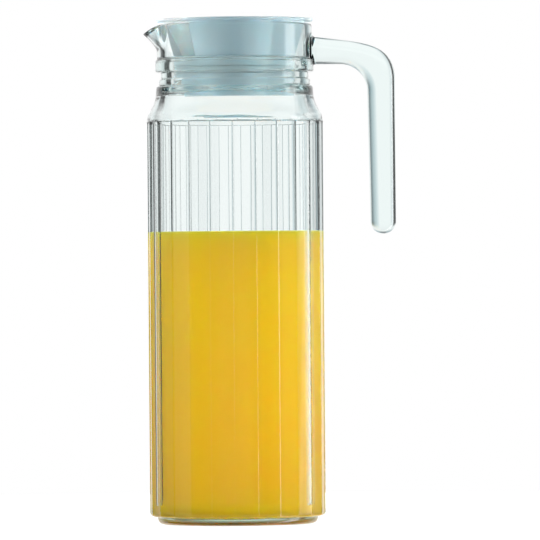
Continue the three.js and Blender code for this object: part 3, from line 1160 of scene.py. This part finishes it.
@dataclass
class PourLid:
    """The lid: a turning cap with a pour window, a plug that stays in the neck, and its soft seal."""

    glass: GlassSizes
    plastic: Material
    silicone: Material
    turn_steps: int = 192
    flange_overhang: float = 0.4 * MM
    flange_thickness: float = 1.5 * MM
    flange_rise: float = 1.3 * MM
    flange_round_share: float = 0.48
    cap_wall: float = 1.5 * MM
    cap_dish: float = 1 * MM
    cap_dish_margin: float = 7.4 * MM
    cap_turn: float = math.radians(26)
    window_half_angle: float = math.radians(27)
    window_sill: float = 0.8 * MM
    window_head: float = 1 * MM
    plug_wall: float = 2.2 * MM
    plug_depth: float = 19.4 * MM
    plug_notch_half_angle: float = math.radians(38)
    plug_notch_land: float = 2.8 * MM
    stop_thickness: float = 1.2 * MM
    stop_width: float = 1.6 * MM
    sleeve_wall: float = 1.4 * MM
    sleeve_depth: float = 15.2 * MM
    sleeve_notch_half_angle: float = math.radians(36)
    sleeve_notch_height: float = 5 * MM
    snap_height: float = 1.6 * MM
    snap_depth: float = 0.6 * MM
    snap_lift: float = 2.4 * MM
    seal_height: float = 3.6 * MM
    seal_depth: float = 0.8 * MM
    seal_lip: float = 0.35 * MM
    seal_drop: float = 3 * MM
    gap: float = 0.3 * MM
    seal_gap: float = 0.15 * MM
    edge: float = 0.35 * MM
    sharp_angle: float = math.radians(38)

    def __post_init__(self) -> None:
        """Works out the heights and radii that the three pieces share."""
        g = self.glass
        self.plug_seat = g.ledge_top + self.gap
        self.plug_top = self.plug_seat + self.stop_thickness
        self.plug_bottom = self.plug_seat - self.plug_depth
        self.seal_top = self.plug_seat - self.seal_drop
        self.seal_bottom = self.seal_top - self.seal_height
        self.cap_seat = self.plug_top + self.gap
        self.sleeve_bottom = self.cap_seat - self.sleeve_depth
        self.snap_bottom = self.sleeve_bottom + self.snap_lift
        self.snap_top = self.snap_bottom + self.snap_height
        self.flange_bottom = g.rim_top + self.flange_rise
        self.cap_top = self.flange_bottom + self.flange_thickness
        self.plug_radius = g.neck_bore - self.gap - self.seal_lip
        self.plug_bore = self.plug_radius - self.plug_wall
        self.sleeve_radius = self.plug_bore - self.gap
        self.sleeve_bore = self.sleeve_radius - self.sleeve_wall
        self.skirt_radius = g.collar_bore - self.gap
        self.flange_radius = g.collar_radius + self.flange_overhang
        self.turner = RevolveTree.plain()

    def turned(self, name: str, outline: Outline, finish: Material) -> Piece:
        """Turns one of the lid's outlines."""
        return self.turner.piece(name, outline, {"Turn Steps": self.turn_steps, "Material": finish})

    def wedge(self, turn: float, half_angle: float, bottom: float, top: float) -> Piece:
        """Makes a wedge that passes right through the lid."""
        return wedge(turn, half_angle, bottom, top, 2 * self.flange_radius)

    def build_cap(self) -> None:
        """Makes the turning cap: flange, tapered skirt with its pour window, and sleeve."""
        g, edge = self.glass, self.edge
        dish = self.flange_radius - self.cap_dish_margin
        ceiling = self.cap_top - self.cap_dish - self.cap_wall
        skirt_top = g.rim_top - g.rim_round
        inside = self.skirt_radius - self.cap_wall
        half = self.flange_round_share * self.flange_thickness
        snap_middle = (self.snap_bottom + self.snap_top) / 2
        path = Outline.rounded(
            [
                (0.0, self.cap_top - self.cap_dish),
                (dish, self.cap_top - self.cap_dish, 2 * edge),
                (dish + self.cap_dish, self.cap_top, 2 * edge),
                (self.flange_radius, self.cap_top, half),
                (self.flange_radius, self.flange_bottom, half),
                (self.skirt_radius, self.flange_bottom, edge),
                (self.skirt_radius, skirt_top, 4 * edge),
                (self.plug_radius, self.cap_seat, edge),
                (self.sleeve_radius, self.cap_seat, edge),
                (self.sleeve_radius, self.snap_top, edge),
                (self.sleeve_radius + self.snap_depth, snap_middle, edge),
                (self.sleeve_radius, self.snap_bottom, edge),
                (self.sleeve_radius, self.sleeve_bottom, edge),
                (self.sleeve_bore, self.sleeve_bottom, edge),
                (self.sleeve_bore, self.cap_seat + self.cap_wall, 2 * edge),
                (inside, skirt_top, 4 * edge),
                (inside, ceiling, 2 * edge),
                (0.0, ceiling),
            ]
        )
        cap = self.turned("lid_cap_finished", path, self.plastic)
        sill, head = self.cap_seat + self.window_sill, g.rim_top - self.window_head
        window = self.wedge(self.cap_turn, self.window_half_angle, sill, head)
        notch_bottom = self.sleeve_bottom - self.gap
        notch_top = self.sleeve_bottom + self.sleeve_notch_height
        notch = self.wedge(self.cap_turn, self.sleeve_notch_half_angle, notch_bottom, notch_top)
        cap = combined(combined(cap, window, "DIFFERENCE"), notch, "DIFFERENCE")
        # marks the faces that get the plastic's paler inside colour, which is painted light
        mark_inside(cap)
        shade(cap, self.sharp_angle)
        place_on(cap, Body.CAP, ("lid_cap",))

    def build_plug(self) -> None:
        """Makes the plug: a tube with a stop flange, a seal groove, a snap groove and a pour notch."""
        edge, groove = self.edge, self.plug_radius - self.seal_depth
        stop = self.glass.neck_bore + self.stop_width
        snap_middle = (self.snap_bottom + self.snap_top) / 2
        start = (self.plug_bore, (self.plug_bottom + self.snap_bottom) / 2)
        path = Outline.rounded(
            [
                start,
                (self.plug_bore, self.plug_bottom, edge),
                (self.plug_radius, self.plug_bottom, 2 * edge),
                (self.plug_radius, self.seal_bottom - self.seal_gap, edge),
                (groove, self.seal_bottom - self.seal_gap),
                (groove, self.seal_top + self.seal_gap),
                (self.plug_radius, self.seal_top + self.seal_gap, edge),
                (self.plug_radius, self.plug_seat, edge),
                (stop, self.plug_seat, edge),
                (stop, self.plug_top, edge),
                (self.plug_bore, self.plug_top, edge),
                (self.plug_bore, self.snap_top + self.gap, edge),
                (self.plug_bore + self.snap_depth, snap_middle, edge),
                (self.plug_bore, self.snap_bottom - self.gap, edge),
                start,
            ]
        )
        plug = self.turned("lid_plug_finished", path, self.plastic)
        notch_top = self.seal_bottom - self.plug_notch_land
        notch = self.wedge(0.0, self.plug_notch_half_angle, self.plug_bottom - self.gap, notch_top)
        plug = combined(plug, notch, "DIFFERENCE")
        shade(plug, self.sharp_angle)
        place_on(plug, Body.PLUG, ("lid_plug",))

    def build_seal(self) -> None:
        """Makes the soft ring with its two lips."""
        inner = self.plug_radius - self.seal_depth + self.seal_gap
        middle = (self.seal_top + self.seal_bottom) / 2
        path = Outline(inner, self.seal_bottom)
        path.line(self.plug_radius, self.seal_bottom)
        path.bulge(self.seal_lip, middle)
        path.bulge(self.seal_lip, self.seal_top)
        path.line(inner, self.seal_top)
        path.line(inner, self.seal_bottom)
        seal = self.turned("lid_seal_finished", path, self.silicone)
        shade(seal, self.sharp_angle)
        place_on(seal, Body.PLUG, ("lid_seal",))

    def build(self) -> None:
        """Makes the cap, the plug and the seal."""
        self.build_cap()
        self.build_plug()
        self.build_seal()


@dataclass
class JuiceFill:
    """The drink in the jug.

    It wets the glass all round, apart from two bays, and climbs a little at its edge. The bays
    start in the rounding at the foot of the wall, at a share of its height.
    """

    glass: GlassSizes
    finish: Material
    level: float = 150.2 * MM
    contact: float = 0.04 * MM
    climb: float = 0.5 * MM
    climb_width: float = 1.2 * MM
    climb_turn: float = 0.25
    bay_depth: float = 0.2 * MM
    bay_half_width: float = math.radians(4.5)
    bay_blend: float = math.radians(1.2)
    bay_start: float = 0.6
    left_bay: float = math.radians(202)
    right_bay: float = math.radians(333)
    turn_steps: int = 480
    sharp_angle: float = math.radians(50)

    def outline(self) -> Outline:
        """Draws the drink from the middle of its floor, up the wall, to the middle of its top.

        Returns:
            The path.
        """
        g = self.glass
        radius, floor = g.inner_radius + self.contact, g.base - self.contact
        path = Outline(0.0, floor)
        path.line(radius - g.base_fillet, floor, 2)
        path.curve((radius, floor), (radius, floor + g.base_fillet), 10)
        path.line(radius, self.level + self.climb, 12)
        inner = radius - self.climb_width
        path.curve((radius - self.climb_turn * self.climb_width, self.level), (inner, self.level), 8)
        path.line(0.0, self.level, 2)
        return path

    def tree(self) -> RevolveTree:
        """Makes the tree that turns the outline and draws the wall in at the two bays.

        Returns:
            The tree.
        """
        made = RevolveTree("poured_drink")
        draft, value = made.draft, made.value
        mesh, step, radius, height = made.grid()
        angle = draft.product(draft.math("DIVIDE", step, value("Turn Steps", "Int")), math.tau)
        share = None
        for name in ("Left Bay", "Right Bay"):
            apart = draft.math("ABSOLUTE", draft.math("SUBTRACT", angle, value(name)))
            past = draft.math("SUBTRACT", apart, value("Bay Half Width"))
            past = draft.math("DIVIDE", past, value("Bay Blend"))
            bay = draft.math("SUBTRACT", 1.0, past, clamp=True)
            share = bay if share is None else draft.math("MAXIMUM", share, bay)
        above = draft.math("SUBTRACT", height, value("Bay Foot"))
        share = draft.product(share, draft.math("DIVIDE", above, value("Bay Rise"), clamp=True))
        radius = draft.math("SUBTRACT", radius, draft.product(share, value("Bay Depth")))
        made.close(mesh, angle, draft.math("MAXIMUM", radius, 0.0), height)
        return made

    def build(self) -> None:
        """Makes the drink as one closed body."""
        base, fillet = self.glass.base, self.glass.base_fillet
        values = {
            "Bay Foot": base + self.bay_start * fillet,
            "Bay Rise": (1 - self.bay_start) * fillet,
            "Material": self.finish,
        }
        bays = ("left_bay", "right_bay", "bay_half_width", "bay_blend", "bay_depth")
        values |= inputs_from(self, "turn_steps", *bays)
        made = self.tree().piece("juice_fill", self.outline(), values)
        shade(made, self.sharp_angle)
        place_on(made, Body.JUG, ())


@dataclass(frozen=True)
class Softbox:
    """A soft area lamp that stands about the jug and faces it."""

    name: str
    azimuth: float
    height: float
    distance: float
    width: float
    length: float
    power: float
    colour: tuple = (1.0, 1.0, 1.0)
    aim: float = 140 * MM
    spread: float = math.pi

    def build(self) -> None:
        """Sets the lamp up: azimuth 0 is behind the jug, and a positive one is towards +X."""
        lamp = bpy.data.lights.new(self.name, "AREA")
        lamp.shape, lamp.size, lamp.size_y = "RECTANGLE", self.width, self.length
        lamp.energy, lamp.color, lamp.spread = self.power, self.colour, self.spread
        turn = math.radians(self.azimuth)
        place = Vector((self.distance * math.sin(turn), self.distance * math.cos(turn), self.height))
        facing = (Vector((0.0, 0.0, self.aim)) - place).to_track_quat("-Z", "Y")
        holder = linked(self.name, lamp)
        holder.matrix_world = Matrix.Translation(place) @ facing.to_matrix().to_4x4()
        holder.visible_glossy = holder.visible_transmission = False

    @classmethod
    def for_lid(cls, side: str, azimuth: float, power: float) -> "Softbox":
        """Returns a small lamp with a narrow beam that lights only the lid."""
        beam = {"aim": 245 * MM, "spread": math.radians(11)}
        return cls(f"lid_{side}_softbox", azimuth, 0.25, 1.0, 0.1, 0.1, power, **beam)


def grey(level: float, cool: float = 0.0) -> tuple[float, float, float]:
    """Returns a grey of a level, made cooler by a share."""
    return (level * (1 - cool), level * (1 - COOL_GREEN * cool), level)


@dataclass
class Studio:
    """Camera, lamps, floor and the bright and dark panels that the glass shows."""

    azimuth: float = math.radians(1.34)
    elevation: float = math.radians(-0.16)
    roll: float = math.radians(-0.46)
    distance: float = 3.9
    lens: float = 504.8
    target: Vector = field(default_factory=lambda: Vector((17.5 * MM, 0.0, 130.6 * MM)))
    floor_radius: float = 0.6
    floor_drop: float = 0.3 * MM
    floor_sides: int = 96
    bounces: int = 32
    ambient: tuple = (0.08, 0.12, 0.14)
    lamps: tuple[Softbox, ...] = (
        # name, azimuth, height, distance, width, length, power
        Softbox("right_softbox", 87, 0.3, 1.0, 0.4, 0.9, 3.5),
        Softbox("left_softbox", -87, 0.3, 1.0, 0.4, 0.9, 4.4),
        Softbox("front_softbox", 174, 0.3, 1.5, 0.8, 0.8, 2.5, (0.5, 0.85, 1.0)),
        Softbox(
            "low_softbox", 158, 0.085, 1.5, 1.2, 0.12, 1.0, aim=85 * MM, spread=math.radians(13)
        ),
        Softbox("back_softbox", 4, 0.4, 1.2, 0.8, 0.8, 10.0),
        Softbox("top_softbox", 4, 1.4, 0.1, 0.8, 0.8, 4.5),
        Softbox.for_lid("right", 84, 0.065),
        Softbox.for_lid("left", -84, 0.045),
        Softbox.for_lid("back", -30, 0.22),
    )
    # degrees from the back towards +X, level and coolness of what the glass shows
    panels: tuple[tuple[float, ...], ...] = (
        (-180, 1.0), (-155, 1.0), (-140, 0.3, 0.3), (-118, 0.3, 0.3), (-110, 0.95), (-50, 0.95),
        (-46, 0.06), (-32, 0.06), (-28, 0.7, 0.05), (-22, 0.85, 0.05), (-16, 1.0), (7, 1.0),
        (12, 0.85, 0.1), (20, 0.6, 0.2), (29, 0.28, 0.25), (37, 0.2, 0.25), (41, 0.85), (112, 1.0),
        (125, 0.35, 0.3), (145, 0.35, 0.3), (158, 1.0), (180, 1.0),
    )
    # degrees and level of what its polish mirrors
    mirror_panels: tuple[tuple[float, ...], ...] = (
        (-180, 0.02), (-120, 0.02), (-100, 0.5), (-80, 0.3), (-50, 0.05), (-40, 0.8), (-30, 1.0),
        (30, 1.0), (40, 0.5), (74, 0.3), (80, 5.0), (94, 5.0), (100, 0.1), (122, 0.02), (180, 0.02),
    )
    # the degrees over which one part of the surroundings passes into the next
    middle_to_aside: tuple[float, float] = (8, 22)
    panels_to_pale: tuple[float, float] = (6, 24)
    pale_to_dark: tuple[float, float] = (28, 44)
    dark_to_zenith: tuple[float, float] = (45, 65)
    panels_to_ground: tuple[float, float] = (-32, -48)
    pale: tuple = grey(0.95)
    dark_middle: tuple = grey(0.1, 0.3)
    dark_aside: tuple = grey(0.42, 0.35)
    zenith: tuple = grey(0.8)
    ground: tuple = grey(0.2, 0.4)

    def set_camera(self) -> None:
        """Puts the camera at the photograph's viewing angle."""
        turn, rise = self.azimuth, self.elevation
        level = math.cos(rise)
        back = Vector((math.sin(turn) * level, -math.cos(turn) * level, math.sin(rise)))
        right = Vector((math.cos(turn), math.sin(turn), 0.0))
        facing = Matrix((right, back.cross(right), back)).transposed().to_4x4()
        lens = bpy.data.cameras.new("camera")
        lens.lens = self.lens
        holder = linked("camera", lens)
        place = Matrix.Translation(self.target + back * self.distance)
        holder.matrix_world = place @ facing @ Matrix.Rotation(self.roll, 4, "Z")
        bpy.context.scene.camera = holder

    def set_world(self) -> None:
        """Shows white to the eye, panels to the glass and a dim cool light to the rest."""
        world = bpy.data.worlds.new("studio")
        bpy.context.scene.world = world
        world.use_nodes = True
        world.node_tree.nodes.clear()
        draft = NodeDraft(world.node_tree)
        way = draft.add("ShaderNodeTexCoord").outputs["Generated"]
        part = draft.add("ShaderNodeSeparateXYZ", {0: way}).outputs
        turn = draft.math("DIVIDE", draft.math("ARCTAN2", part["X"], part["Y"]), math.tau)
        rise = draft.math("DEGREES", draft.math("ARCSINE", part["Z"]))
        sideways = draft.product(draft.math("ABSOLUTE", turn), 360.0)
        aside = draft.ease(sideways, *self.middle_to_aside)
        dark = draft.mix(aside, self.dark_middle, self.dark_aside)
        above = draft.mix(draft.ease(rise, *self.dark_to_zenith), dark, self.zenith)
        views = []
        for panels in (self.panels, self.mirror_panels):
            stops = tuple((degrees / 360 + 0.5, grey(*shades)) for degrees, *shades in panels)
            around = draft.ramp(draft.total(turn, 0.5), stops)
            band = draft.mix(draft.ease(rise, *self.panels_to_pale), around, self.pale)
            views.append(draft.mix(draft.ease(rise, *self.pale_to_dark), band, above))
        through = draft.mix(draft.ease(rise, *self.panels_to_ground), views[0], self.ground)
        path = draft.add("ShaderNodeLightPath").outputs
        light = draft.mix(path["Is Glossy Ray"], self.ambient, views[1])
        light = draft.mix(path["Is Transmission Ray"], light, through)
        light = draft.mix(path["Is Camera Ray"], light, grey(1.0))
        glow = draft.add("ShaderNodeBackground", {"Color": light, "Strength": 1.0})
        draft.add("ShaderNodeOutputWorld", {"Surface": glow.outputs[0]})

    def set_floor(self) -> None:
        """Lays a round pale floor under the jug."""
        mesh = bpy.data.meshes.new("floor")
        work = bmesh.new()
        circle = {"segments": self.floor_sides, "radius": self.floor_radius}
        bmesh.ops.create_circle(work, cap_ends=True, **circle)
        work.to_mesh(mesh)
        work.free()
        mesh.transform(Matrix.Translation((0.0, 0.0, -self.floor_drop)))
        mesh.materials.append(PaleFloor().material())
        floor = linked("floor", mesh)
        floor.visible_glossy = floor.visible_transmission = False

    def build(self) -> None:
        """Sets up the whole studio."""
        self.set_camera()
        self.set_world()
        self.set_floor()
        for lamp in self.lamps:
            lamp.build()
        scene = bpy.context.scene
        scene.view_settings.view_transform = "Standard"
        for name in ("max_bounces", "transmission_bounces", "transparent_max_bounces"):
            setattr(scene.cycles, name, self.bounces)


def main() -> None:
    """Builds the jug's pieces in order, and the studio around them."""
    logging.basicConfig(level=logging.INFO, format="%(name)s: %(message)s")
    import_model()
    Studio().build()
    glass = GlassSizes()
    GlassJug(glass, ClearGlass().material()).build()
    PourLid(glass, MilkyPlastic().material(), SoftSilicone().material()).build()
    JuiceFill(glass, OrangeJuice().material()).build()


if __name__ == "__main__":
    main()
